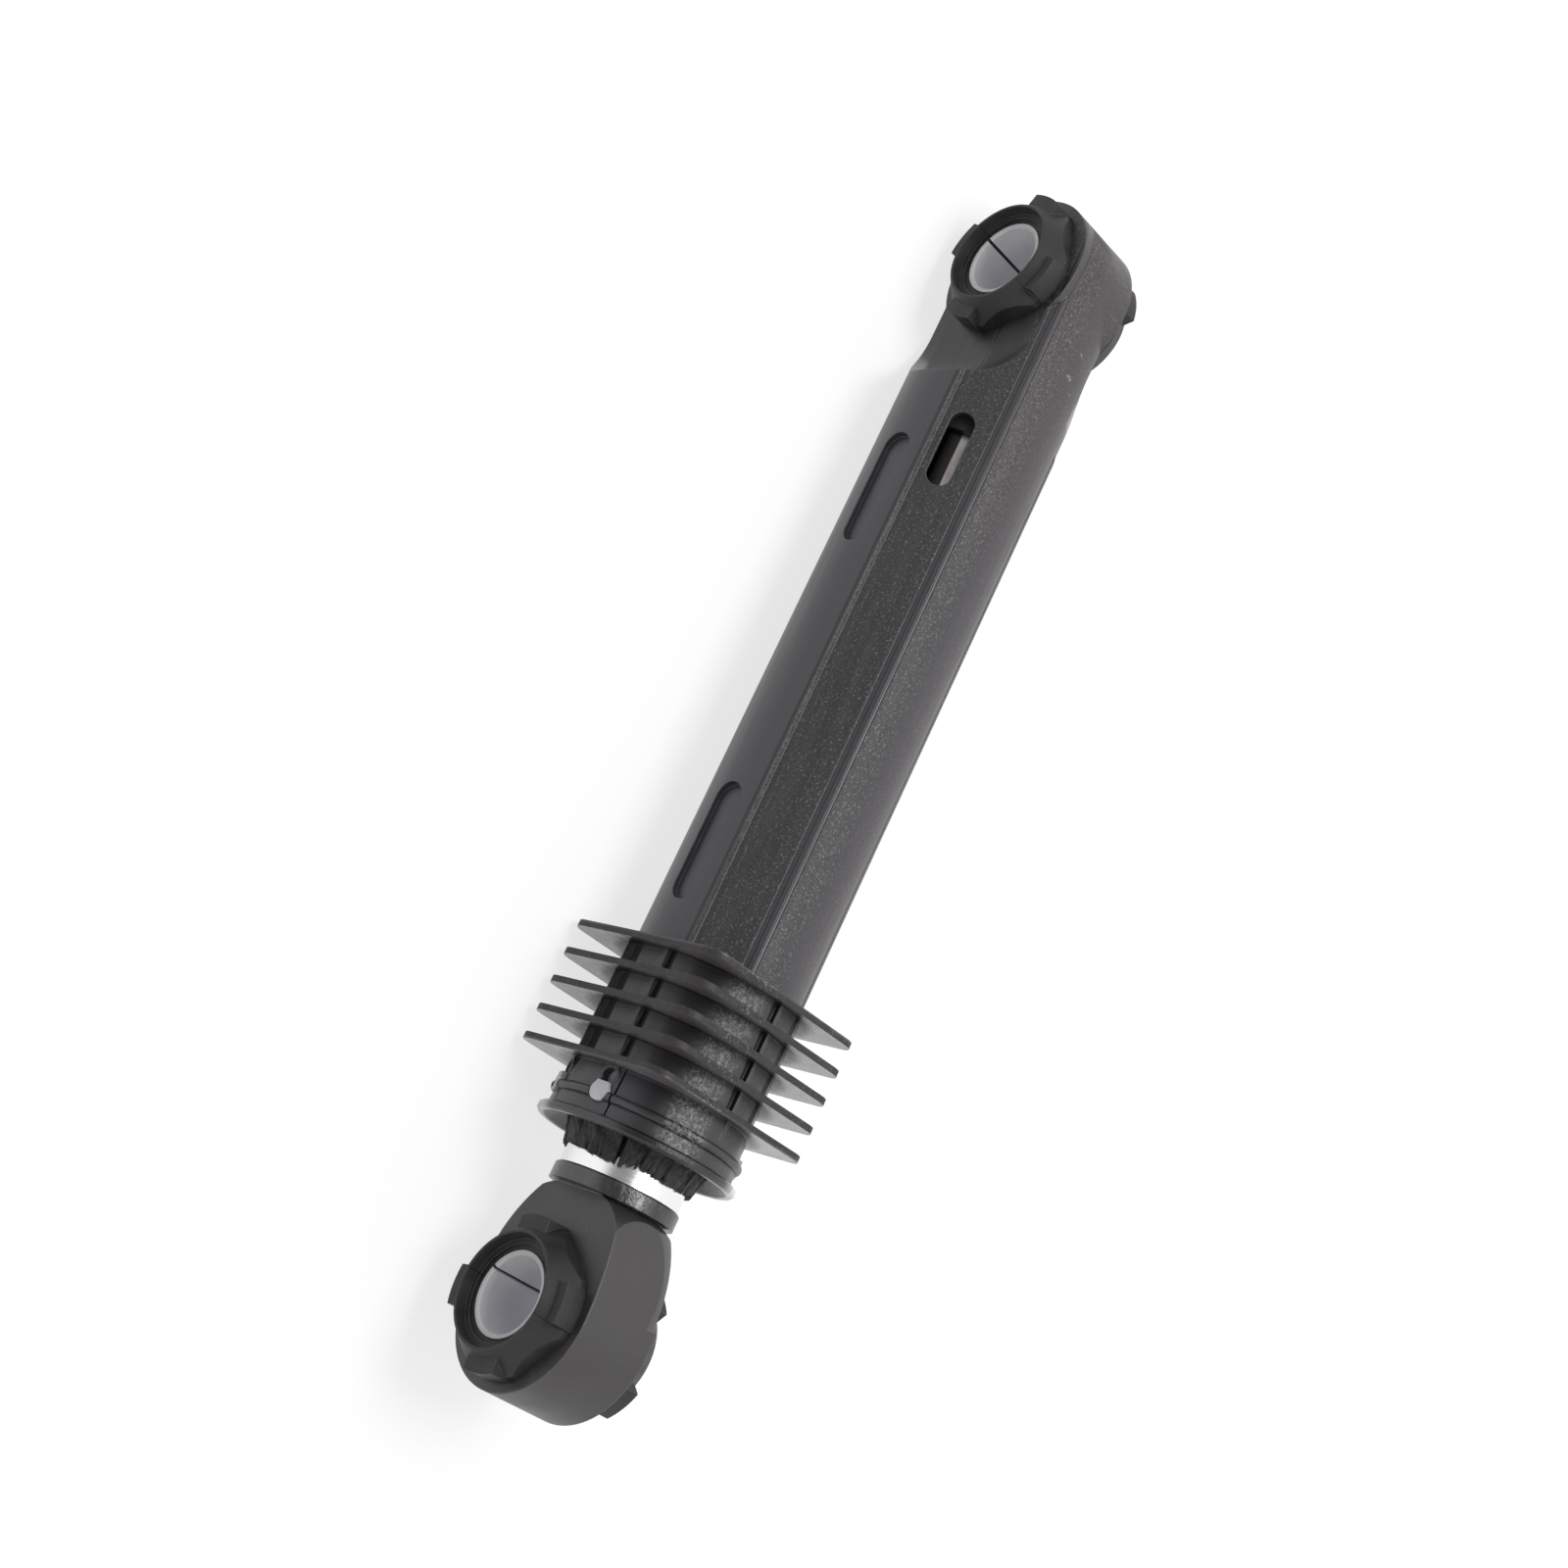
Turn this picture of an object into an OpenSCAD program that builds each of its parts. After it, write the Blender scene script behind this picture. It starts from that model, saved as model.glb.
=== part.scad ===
// Friction damper of a front-loading washing machine, in millimetres, as it lies nearly closed.
// The origin is the centre of the housing eye. +X runs along the tube to the rod eye, both eye
// bores lie along Y, and +Z is up when the damper lies on its fins. Angles of features round the
// barrel are counted from the -Y side towards +Z.

/* [Overall] */
// Distance from the middle of the housing eye to the mouth's edge
mouth_x = 181.6; // [170:0.1:220]
// Gap between the mouth's edge and the rod end's collar
collar_gap = 6.5; // [6:0.1:12]

/* [Eyes] */
// Outer radius of both eyes
eye_r = 16; // [15:0.25:18]
// Width of both eyes along their bores
eye_w = 16; // [14:0.5:18]
// Radius of the hole that holds the rubber bush
eye_hole_r = 11.4; // [10.8:0.1:12]

/* [Tube] */
// Outer radius of the tube
tube_r = 11.25; // [10.5:0.05:12]
// Wall of the tube
tube_wall = 1; // [0.8:0.1:1.4]

/* [Barrel] */
// Room between the tube and the barrel's bore
bore_play = 1.45; // [1.3:0.05:1.8]
// Wall of the barrel
barrel_wall = 3.3; // [2.8:0.1:4]
// Thickness of the closed end behind the scoop
end_wall = 0.8; // [0.6:0.1:2]
// Depth of the two grained flats under the barrel's surface
flat_depth = 1.2; // [0.8:0.1:1.6]
// Width of the thin ridges along the flats
ridge_w = 0.8; // [0.5:0.1:1.2]
// Height of the thin ridges over the flats
ridge_h = 0.35; // [0.2:0.05:0.6]
// Height of the rail along the barrel
rail_h = 0.2; // [0.1:0.05:0.6]
// Width of the rail along the barrel
rail_w = 1.8; // [1:0.1:2.5]

/* [Scoop at the housing eye] */
// Radius round the eye where the flat cheek ends
cheek_r = 20.2; // [18:0.1:24]
// Radius of the curve from the cheek up to the barrel
scoop_r = 8; // [7:0.1:10]

/* [Slots and pockets] */
// Width of the vent slots in the flats
slot_w = 4.7; // [3.5:0.1:5.5]
// Distance of the vent slots from the closed end
slot_gap = 6; // [5:0.1:10]
// Length of the vent slots
slot_len = 15.5; // [10:0.5:18]
// Shift of the vent slots off the middle of the flat
slot_shift = 1.5; // [0:0.1:1.6]
// Width of the side pockets
pocket_w = 6.4; // [5:0.1:8]
// Depth of the side pockets
pocket_depth = 1.4; // [0.8:0.1:1.8]
// Length of the side pockets
pocket_len = 23.5; // [18:0.5:26]
// Distance of the nearer pockets from the closed end
pocket_a_gap = 13.1; // [11:0.1:16]
// Distance of the other pockets from the first fin
pocket_b_gap = 9.1; // [6:0.1:12]

/* [Fins] */
// Height of the fins over the barrel, at the middle of their sides
fin_h = 3.8; // [3:0.1:6]
// Radius of a fin's corners
fin_corner_r = 3.6; // [2:0.1:5]
// Thickness of a fin
fin_t = 1.2; // [0.8:0.1:1.6]
// Distance from one fin to the next
fin_pitch = 5.53; // [5:0.01:6]
// Number of fins
fin_count = 5; // [3:1:7]
// Depth of the recesses in the drum between the fins
recess_depth = 0.6; // [0.3:0.1:0.8]
// Height of the short ribs between the fins
rib_h = 0.4; // [0.2:0.1:0.8]
// Width of the short ribs between the fins
rib_w = 0.8; // [0.5:0.1:1.2]

/* [Mouth] */
// Wall of the drum round the friction unit
drum_wall = 1.6; // [1.3:0.1:2.5]
// Distance from the last fin to the mouth's edge
mouth_len = 11; // [10.5:0.1:14]
// Height of the mouth's rim over the drum
rim_h = 2.1; // [1.6:0.1:3]
// Thickness of the mouth's rim
rim_t = 1.6; // [1.2:0.1:2]
// Length of the flare inside the mouth
flare_len = 2.2; // [1.6:0.1:2.4]
// Depth of the flare inside the mouth
flare_depth = 2.3; // [1.8:0.1:2.6]
// Height of the bead over the drum
bead_h = 1.5; // [1.1:0.1:1.8]
// Radius of the bead's rounded edge
bead_round_r = 0.9; // [0.6:0.1:1]
// Distance of the bead from the mouth's edge
bead_back = 4.9; // [4.6:0.1:5.4]
// Width of a keyhole window at its wide end
window_w = 3.9; // [3.2:0.1:4.6]
// Width of a keyhole window at its narrow end
window_neck_w = 1.6; // [1.4:0.1:2.4]
// Radius of the round hole at the window's narrow end
window_r = 1.3; // [1.1:0.1:1.8]
// Distance from the window's round hole to its wide end
window_len = 5.2; // [5:0.1:6]
// Distance from the window's wide end to the mouth's edge
window_gap = 3.5; // [3.2:0.1:3.8]
// Width of the raised ring round a window's round hole
window_ring_w = 0.7; // [0.3:0.1:0.9]
// Height of that raised ring over the drum
window_ring_h = 0.3; // [0.2:0.1:0.5]
// Width and depth of the fine grooves round the windows
panel_cut = 0.4; // [0.2:0.1:0.6]

/* [Friction unit] */
// Thickness of the felt linings
lining_t = 2.6; // [2:0.1:3.2]
// Length of the inner lining
lining_a_len = 10; // [8:0.5:11]
// Length of the outer lining
lining_b_len = 8; // [6:0.5:8.5]
// Width of the cuts where the linings are closed round the tube
lining_cut_w = 0.8; // [0.4:0.1:1.2]
// Wall of the cage's sleeve
cage_wall = 1.2; // [0.9:0.1:1.6]
// Thickness of the cage's two inner flanges
cage_flange_t = 1.4; // [1:0.1:1.8]
// Height of the snap hooks over the cage's sleeve
hook_h = 2.8; // [2:0.1:3.2]
// Length of the mouth guide's spigot in the cage
guide_spigot_len = 5.2; // [4:0.1:6]
// Thickness of the mouth guide's flange
guide_flange_t = 1.2; // [0.8:0.1:1.4]
// Length of the guide's fingers
finger_len = 6.6; // [5:0.1:7]
// Thickness of the fingers at their root
finger_root_t = 2.75; // [2:0.05:3.2]
// Thickness of the fingers at their tips
finger_tip_t = 0.75; // [0.5:0.05:1.2]
// Width of the cuts between the fingers
finger_cut_w = 0.9; // [0.6:0.1:1.4]
// Number of the fingers
finger_count = 14; // [8:1:18]

/* [Piston] */
// Distance of the piston from the bump stop, as it lies
stop_gap = 1.7; // [0.5:0.1:5]
// Thickness of the rubber bump stop
bump_t = 2; // [1:0.1:4]
// Radius of the hole in the bump stop
bump_hole_r = 4; // [2:0.5:6]
// Room between the plug's retaining flange and the barrel's bore
flange_play = 0.6; // [0.4:0.1:1]
// Thickness of the plug's retaining flange
plug_flange_t = 1.2; // [0.8:0.1:2]
// Length of the plug inside the tube
plug_len = 9; // [6:0.5:14]
// Wall of the plug inside the tube
plug_wall = 2; // [1.5:0.1:3]
// Length of the guide ring
ring_len = 3.6; // [3:0.1:6]
// Thickness of the guide ring
ring_t = 2.1; // [1.6:0.1:2.4]
// Width of the cut in the guide ring
ring_cut_w = 0.9; // [0.5:0.1:1.5]

/* [Rod end] */
// Width of the collar's lip round the tube's end
collar_lip = 0.55; // [0.4:0.05:1]
// Thickness of the collar
collar_t = 3.1; // [2.5:0.1:4]
// Chamfer of the collar's edge
collar_chamfer = 0.35; // [0.2:0.05:0.6]
// Distance from the rod eye's middle to the collar
neck_len = 21.5; // [20:0.1:26]
// Step from the collar's radius down to the neck
neck_step = 0.3; // [0.1:0.1:0.8]
// Radius of the dome that rounds the neck's corners
dome_r = 12; // [11.5:0.1:13]
// Radius from the axis to the centre of the dome's curve
dome_center_r = 5; // [4:0.1:6]
// Distance from the collar to the centre of the dome's curve
dome_reach = 11; // [10:0.1:11.9]
// Radius of the flatter dome over the two blunt corners of the neck
blunt_r = 29.5; // [27:0.1:32]
// Radius that this flatter dome leaves beside the eye
blunt_top_r = 16.7; // [16.2:0.1:17.5]
// Distance from the collar to the flatter dome's widest place
blunt_reach = 17; // [15:0.1:19]
// Length of the spigot inside the tube
spigot_len = 18; // [12:0.5:25]
// Wall of the spigot
spigot_wall = 2.2; // [1.6:0.1:3]

/* [Rubber bushes] */
// Height of the bush's lip over the eye's cheek
lip_h = 6.1; // [5.8:0.1:7]
// Outer radius of the lip
lip_r = 10.7; // [10.2:0.1:10.9]
// Width of the lip's flat top
lip_w = 0.4; // [0.3:0.1:0.8]
// How far the bush's head reaches over the eye's hole
head_over = 2.4; // [2:0.1:2.8]
// Height of the head's straight side
head_side_h = 1.3; // [0.8:0.1:2]
// How far the head's four flats lie outside the eye's hole
head_flat_over = 1.3; // [0.9:0.1:1.8]
// How far the four tabs reach over the eye's hole
tab_over = 2.8; // [2.6:0.1:3.4]
// Width of a tab
tab_w = 7.2; // [5:0.1:8]
// Height of a tab over the eye's cheek
tab_h = 4.5; // [3:0.1:5]
// Depth of the step inside the lip
step_depth = 2; // [1.6:0.1:2.3]
// Turn of the housing bush round its bore
housing_bush_turn = 21; // [-45:1:45]
// Turn of the rod bush round its bore
rod_bush_turn = -7; // [-45:1:45]

/* [Split sleeves] */
// Bore radius of the sleeves
sleeve_bore_r = 7; // [6:0.05:7.1]
// Wall of the sleeves
sleeve_wall = 0.85; // [0.6:0.05:1]
// How far the sleeves stand out of the eyes at each side
sleeve_out = 3.9; // [3:0.1:4]
// Width of the sleeves' cut
sleeve_cut_w = 0.6; // [0.3:0.1:1]
// Chamfer inside the sleeves' ends
sleeve_chamfer = 0.3; // [0.1:0.05:0.4]
// Turn of the housing sleeve's cut round its bore
housing_cut_turn = -144; // [-180:1:180]
// Turn of the rod sleeve's cut round its bore
rod_cut_turn = -153; // [-180:1:180]

/* [Clearances] */
// Running clearance on the tube and in the barrel's bore
run_gap = 0.05; // [0.02:0.01:0.1]
// Clearance between pieces that sit in each other
seat_gap = 0.05; // [0.02:0.01:0.1]
// Clearance of the guide ring along the plug
end_gap = 0.1; // [0.05:0.01:0.2]
// Clearance of the hooks in the windows
hook_gap = 0.15; // [0.1:0.05:0.3]

/* [Hidden] */
$fn = 96;
overrun = 5;

// Angles of features round the barrel, in degrees
flat_angle = 45;
rail_angle = 133;
window_angles = [-29, 15];
panel_angles = [-38, -20, 24];
rib_angles = [-28, 14, 120];
long_rib_angle = 95;
head_turn = 45;

// Each recess between two fins: its middle angle and its width as a share of the drum's radius
recess_angles = [-1.5, 18.8, 92];
recess_width_shares = [0.46, 0.06, 0.1];

// Radii, from the tube outwards
bore_r = tube_r + bore_play;
barrel_r = bore_r + barrel_wall;
guide_bore_r = tube_r + run_gap * 2;
flange_bore_r = tube_r + run_gap * 4;
lining_r = tube_r + run_gap + lining_t;
cage_bore_r = lining_r + seat_gap;
cage_r = cage_bore_r + cage_wall;
chamber_r = cage_r + seat_gap;
drum_r = chamber_r + drum_wall;
bead_r = drum_r + bead_h;
rim_r = drum_r + rim_h;
rim_inner_r = chamber_r + flare_depth;
drum_end_r = drum_r + bead_h / 2;
fin_half = barrel_r + fin_h;
spigot_bore_r = (lining_r + guide_bore_r) / 2;
tube_bore_r = tube_r - tube_wall;
hub_r = bore_r - 2 * run_gap - ring_t;
plug_flange_r = bore_r - flange_play;
collar_r = tube_r + collar_lip;

// Barrel outside
cheek_y = eye_w / 2;
flat_dist = barrel_r - flat_depth;
flat_half = sqrt(barrel_r * barrel_r - flat_dist * flat_dist);
bore_end_x = cheek_r + scoop_r + end_wall;
fins_x = mouth_x - mouth_len - fin_pitch * (fin_count - 1);
slot_x = bore_end_x + slot_gap;
pocket_a_x = bore_end_x + pocket_a_gap;
pocket_b_x = fins_x - pocket_b_gap - pocket_len;

// Mouth
bead_x = mouth_x - bead_back;
window_end_x = mouth_x - window_gap;
window_round_x = window_end_x - window_len;

// Friction unit, from the mouth inwards
guide_flange_x = mouth_x - flare_len - guide_flange_t;
guide_spigot_x = guide_flange_x - guide_spigot_len;
lining_b_x = guide_spigot_x - lining_b_len;
mid_flange_x = lining_b_x - cage_flange_t;
lining_a_x = mid_flange_x - lining_a_len;
cage_x = lining_a_x - cage_flange_t;
chamber_x = cage_x;

// Rod end, tube and piston
tube_end_x = mouth_x + collar_gap;
collar_x = tube_end_x + collar_t;
rod_eye_x = collar_x + neck_len;
neck_half = collar_r - neck_step;
neck_drop = eye_r - neck_half;
neck_curve_r = (neck_len * neck_len + neck_drop * neck_drop) / (2 * neck_drop);
hub_x = bore_end_x + bump_t + stop_gap;
tube_x = hub_x + plug_flange_t + ring_len + end_gap * 2;

// Bushes and sleeves
bush_core_r = eye_hole_r - seat_gap;
lip_y = cheek_y + lip_h;
head_r = eye_hole_r + head_over;
head_flat_r = eye_hole_r + head_flat_over;
tab_r = eye_hole_r + tab_over;
sleeve_r = sleeve_bore_r + sleeve_wall;
bush_bore_r = sleeve_r + seat_gap;
sleeve_len = eye_w + 2 * sleeve_out;
sleeve_half = sleeve_len / 2;
recess_y = sleeve_half - sleeve_wall / 2;

// Turns what was drawn upright so that its Z runs along the barrel's X
module along_x() { rotate([0, 90, 0]) children(); }

// Turns what was drawn upright so that its Z runs along the eyes' Y
module along_y() { rotate([-90, 0, 0]) children(); }

// Turns what was drawn on the -Y side to an angle round the barrel
module at_angle(angle) { rotate([-angle, 0, 0]) children(); }

module disc_x(x0, x1, r) { translate([x0, 0, 0]) along_x() cylinder(h = x1 - x0, r = r); }

module ring_x(x0, x1, r_out, r_in) {
    difference() {
        disc_x(x0, x1, r_out);
        disc_x(x0 - overrun, x1 + overrun, r_in);
    }
}

// Flat shape with round ends, from x0 to x1, w wide
module stadium(x0, x1, w) {
    translate([x0 + w / 2, 0]) circle(d = w);
    translate([x1 - w / 2, 0]) circle(d = w);
    translate([x0 + w / 2, -w / 2]) square([x1 - x0 - w, w]);
}

// Square with round corners
module rounded_square(half, r) {
    for (sx = [-1, 1], sy = [-1, 1])
        translate([sx * (half - r), sy * (half - r)]) circle(r = r);
    square([2 * half, 2 * (half - r)], center = true);
    square([2 * (half - r), 2 * half], center = true);
}

// Eye disc about Y at x, with its hole
module eye_disc(x) { translate([x, -cheek_y, 0]) along_y() cylinder(h = eye_w, r = eye_r); }

module eye_hole(x) {
    translate([x, -cheek_y - overrun, 0]) along_y() cylinder(h = eye_w + 2 * overrun, r = eye_hole_r);
}

// What is cut away beside each cheek of the housing eye: flat out to cheek_r and then curved
module scoop() {
    curve_steps = 14;
    rotate_extrude() polygon(concat(
        [[0, cheek_y], [cheek_r, cheek_y]],
        [for (i = [1:curve_steps])
            let (a = 90 * i / curve_steps)
            [cheek_r + scoop_r * sin(a), cheek_y + scoop_r * (1 - cos(a))]],
        [[cheek_r + scoop_r, barrel_r + overrun], [0, barrel_r + overrun]]));
}

// What is cut away over a flat along the barrel
module flat_cut() {
    translate([0, -flat_dist - overrun, -flat_half])
        cube([fins_x, overrun, 2 * flat_half]);
}

module flat_ridges() {
    for (side = [-1, 1])
        translate([0, -flat_dist - ridge_h, side * (flat_half - ridge_w / 2) - ridge_w / 2])
            cube([fins_x, ridge_h + flat_depth, ridge_w]);
}

// Stadium cutter that reaches from the -Y side in to the given depth
module side_cut(x0, len, w, from_y, to_y) {
    translate([0, -to_y, 0]) rotate([90, 0, 0])
        linear_extrude(from_y - to_y) stadium(x0, x0 + len, w);
}

module rail() {
    at_angle(rail_angle)
        translate([0, 0, -rail_w / 2])
            linear_extrude(rail_w)
                polygon([[bore_end_x, -barrel_r + rail_h],
                         [bore_end_x + rail_w, -barrel_r - rail_h],
                         [fins_x, -barrel_r - rail_h], [fins_x, -barrel_r + rail_h]]);
}

// Drum and mouth outside: straight between the fins, then a bead and a rim
module drum() {
    rim_round = rim_t / 4;
    along_x() rotate_extrude() polygon([
        [0, fins_x], [drum_r, fins_x], [drum_r, mouth_x - mouth_len],
        [drum_end_r, mouth_x - rim_t - rim_round], [drum_end_r, mouth_x - rim_t],
        [rim_r - rim_round, mouth_x - rim_t], [rim_r, mouth_x - rim_t + rim_round],
        [rim_r, mouth_x - rim_round], [rim_r - rim_round, mouth_x], [0, mouth_x]]);
    translate([bead_x, 0, 0]) along_x()
        rotate_extrude() translate([bead_r - bead_round_r, 0]) circle(r = bead_round_r, $fn = 24);
}

module fins() {
    for (i = [0:fin_count - 1])
        translate([fins_x + i * fin_pitch - fin_t / 2, 0, 0]) along_x()
            linear_extrude(fin_t) rounded_square(fin_half, fin_corner_r);
}

// Rib along the drum from the first fin to x1
module drum_rib(x1) {
    translate([fins_x, -drum_r - rib_h, -rib_w / 2])
        cube([x1 - fins_x, rib_h + recess_depth, rib_w]);
}

// Ribs across the gaps between the fins, the same on both sides; one runs on to the bead
module drum_ribs() {
    for (half_turn = [0, 180]) {
        at_angle(long_rib_angle + half_turn) drum_rib(bead_x);
        for (a = rib_angles) at_angle(a + half_turn) drum_rib(mouth_x - mouth_len);
    }
}

// Shallow recesses in the gaps between the fins, the same on both sides
module drum_recesses() {
    for (half_turn = [0, 180], i = [0:fin_count - 2], k = [0:len(recess_angles) - 1])
        at_angle(recess_angles[k] + half_turn)
            translate([fins_x + i * fin_pitch + fin_t / 2, -drum_r - overrun,
                       -drum_r * recess_width_shares[k] / 2])
                cube([fin_pitch - fin_t, overrun + recess_depth,
                      drum_r * recess_width_shares[k]]);
}

// Fine grooves that set off the panels round the windows
module panel_cuts() {
    for (half_turn = [0, 180], a = panel_angles)
        at_angle(a + half_turn)
            translate([mouth_x - mouth_len + fin_t / 2, -rim_r, -panel_cut / 2])
                cube([mouth_len - fin_t / 2 - rim_t, rim_r - drum_r + panel_cut, panel_cut]);
}

// Inside of the barrel, the lining chamber and its flare at the mouth
module housing_inside() {
    disc_x(bore_end_x, chamber_x + overrun, bore_r);
    along_x() rotate_extrude() polygon([
        [0, chamber_x], [chamber_r, chamber_x], [chamber_r, mouth_x - flare_len],
        [rim_inner_r, mouth_x], [rim_inner_r, mouth_x + overrun], [0, mouth_x + overrun]]);
}

// Outline of a keyhole, or of the hook in it when it is drawn smaller by a gap all round
module keyhole_outline(gap) {
    neck_half = window_neck_w / 2 - gap;
    end_r = window_w / 2 - gap;
    translate([window_end_x - window_w / 2, 0]) circle(r = end_r);
    polygon([[window_round_x, -neck_half], [window_end_x - window_w / 2, -end_r],
             [window_end_x - window_w / 2, end_r], [window_round_x, neck_half]]);
}

// Keyhole window on the -Y side, open from the chamber outwards
module keyhole() {
    translate([0, -bore_r, 0]) rotate([90, 0, 0]) linear_extrude(rim_r) {
        keyhole_outline(0);
        translate([window_round_x, 0]) circle(r = window_r);
    }
}

// Raised ring round the keyhole's round hole
module keyhole_ring() {
    translate([window_round_x, 0, 0]) rotate([90, 0, 0])
        cylinder(h = drum_r + window_ring_h, r = window_r + window_ring_w);
}

module housing() {
    color([0.13, 0.13, 0.14])
    difference() {
        union() {
            difference() {
                disc_x(0, fins_x + fin_t, barrel_r);
                for (half_turn = [0, 180]) {
                    at_angle(flat_angle + half_turn) flat_cut();
                    at_angle(half_turn) {
                        side_cut(pocket_a_x, pocket_len, pocket_w,
                                 barrel_r + overrun, barrel_r - pocket_depth);
                        side_cut(pocket_b_x, pocket_len, pocket_w,
                                 barrel_r + overrun, barrel_r - pocket_depth);
                    }
                }
            }
            for (half_turn = [0, 180]) at_angle(flat_angle + half_turn) flat_ridges();
            rail();
            eye_disc(0);
            difference() {
                drum();
                drum_recesses();
                panel_cuts();
            }
            drum_ribs();
            for (half_turn = [0, 180], a = window_angles) at_angle(a + half_turn) keyhole_ring();
            fins();
        }
        for (side = [0, 180]) rotate([side, 0, 0]) along_y() scoop();
        eye_hole(0);
        housing_inside();
        for (half_turn = [0, 180]) {
            at_angle(flat_angle + half_turn) translate([0, 0, -slot_shift])
                side_cut(slot_x, slot_len, slot_w, barrel_r + overrun, bore_r / 2);
            for (a = window_angles) at_angle(a + half_turn) keyhole();
        }
    }
}

// One head of a rubber bush, drawn upright over the eye's middle: cone with four flats, and tabs
module bush_head() {
    intersection() {
        rotate_extrude() polygon([
            [0, cheek_y], [head_r, cheek_y], [head_r, cheek_y + head_side_h],
            [lip_r, lip_y], [0, lip_y]]);
        rotate([0, 0, 45]) translate([-head_flat_r, -head_flat_r, 0])
            cube([2 * head_flat_r, 2 * head_flat_r, lip_y + overrun]);
    }
    intersection() {
        translate([0, 0, cheek_y]) cylinder(h = tab_h, r = tab_r);
        for (turn = [0, 90]) rotate([0, 0, turn])
            translate([-tab_r, -tab_w / 2, cheek_y]) cube([2 * tab_r, tab_w, tab_h]);
    }
}

// Bore and inner step of a bush, from its middle out to one side
module bush_room() {
    step_r = (bush_bore_r + lip_r) / 2 - lip_w;
    rotate_extrude() polygon([
        [0, -overrun], [bush_bore_r, -overrun], [bush_bore_r, recess_y], [step_r, recess_y],
        [step_r, lip_y - step_depth], [lip_r - 2 * lip_w, lip_y - step_depth],
        [lip_r - lip_w, lip_y + lip_w / 2], [lip_r - lip_w, lip_y + overrun],
        [0, lip_y + overrun]]);
}

// Bush about Y at x; its two heads are turned against each other, so that tabs face flats
module bush(x, turn) {
    color([0.09, 0.09, 0.09])
    translate([x, 0, 0]) rotate([0, turn, 0]) difference() {
        union() {
            along_y() cylinder(h = eye_w + head_side_h, r = bush_core_r, center = true);
            rotate([0, head_turn, 0]) along_y() bush_head();
            rotate([180, 0, 0]) along_y() bush_head();
        }
        for (side = [0, 180]) rotate([side, 0, 0]) along_y() bush_room();
    }
}

module housing_bush() { bush(0, housing_bush_turn); }

module rod_bush() { bush(rod_eye_x, rod_bush_turn); }

// Split sleeve about Y, with its cut turned round the bore from +Z towards +X
module sleeve(x, turn) {
    color([0.9, 0.9, 0.91])
    translate([x, 0, 0]) rotate([0, turn, 0]) difference() {
        along_y() rotate_extrude() polygon([
            [sleeve_bore_r, -sleeve_half + sleeve_chamfer],
            [sleeve_bore_r + sleeve_chamfer, -sleeve_half], [sleeve_r, -sleeve_half],
            [sleeve_r, sleeve_half], [sleeve_bore_r + sleeve_chamfer, sleeve_half],
            [sleeve_bore_r, sleeve_half - sleeve_chamfer]]);
        translate([-sleeve_cut_w / 2, -sleeve_half - overrun, 0])
            cube([sleeve_cut_w, sleeve_len + 2 * overrun, sleeve_r + overrun]);
    }
}

module housing_sleeve() { sleeve(0, housing_cut_turn); }

module rod_sleeve() { sleeve(rod_eye_x, rod_cut_turn); }

// White cage: a sleeve with two inner flanges, and a snap hook in each keyhole window
module friction_cage() {
    hook_x = window_round_x + window_r + hook_gap;
    color([0.88, 0.88, 0.9])
    difference() {
        union() {
            disc_x(cage_x, guide_flange_x, cage_r);
            for (half_turn = [0, 180], a = window_angles)
                at_angle(a + half_turn)
                    translate([0, -cage_bore_r, 0]) rotate([90, 0, 0])
                        linear_extrude(cage_wall + hook_h) intersection() {
                            keyhole_outline(hook_gap);
                            translate([hook_x, -window_w]) square([window_len, 2 * window_w]);
                        }
        }
        disc_x(cage_x - overrun, guide_flange_x + overrun, flange_bore_r);
        disc_x(lining_a_x, mid_flange_x, cage_bore_r);
        disc_x(lining_b_x, guide_flange_x + overrun, cage_bore_r);
    }
}

// Split felt ring round the tube
module lining(x, len, turn) {
    color([0.42, 0.36, 0.28])
    difference() {
        ring_x(x, x + len, lining_r, tube_r + run_gap);
        at_angle(turn) translate([x - overrun, -lining_r - overrun, -lining_cut_w / 2])
            cube([len + 2 * overrun, lining_r + overrun, lining_cut_w]);
    }
}

module inner_lining() { lining(lining_a_x, lining_a_len, 0); }

module outer_lining() { lining(lining_b_x, lining_b_len, 180); }

// Black ring in the mouth: spigot in the cage, flange over the cage's end, and tapered fingers
module mouth_guide() {
    flange_end_x = guide_flange_x + guide_flange_t;
    tip_x = flange_end_x + finger_len;
    finger_root_r = guide_bore_r + finger_root_t;
    finger_tip_r = guide_bore_r + finger_tip_t;
    color([0.1, 0.1, 0.11])
    difference() {
        union() {
            disc_x(guide_spigot_x, guide_flange_x + guide_flange_t / 2, lining_r);
            disc_x(guide_flange_x, flange_end_x, cage_r);
            translate([flange_end_x, 0, 0]) along_x()
                cylinder(h = finger_len, r1 = finger_root_r, r2 = finger_tip_r);
        }
        disc_x(guide_spigot_x - overrun, tip_x + overrun, guide_bore_r);
        disc_x(guide_spigot_x - overrun, guide_flange_x, spigot_bore_r);
        for (i = [0:finger_count - 1])
            at_angle(i * 360 / finger_count)
                translate([flange_end_x + finger_len / 8, -finger_root_r - overrun, -finger_cut_w / 2])
                    cube([finger_len + overrun, finger_root_r + overrun, finger_cut_w]);
    }
}

module bump_stop() {
    color([0.08, 0.08, 0.08])
    ring_x(bore_end_x, bore_end_x + bump_t, bore_r - seat_gap, bump_hole_r);
}

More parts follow.
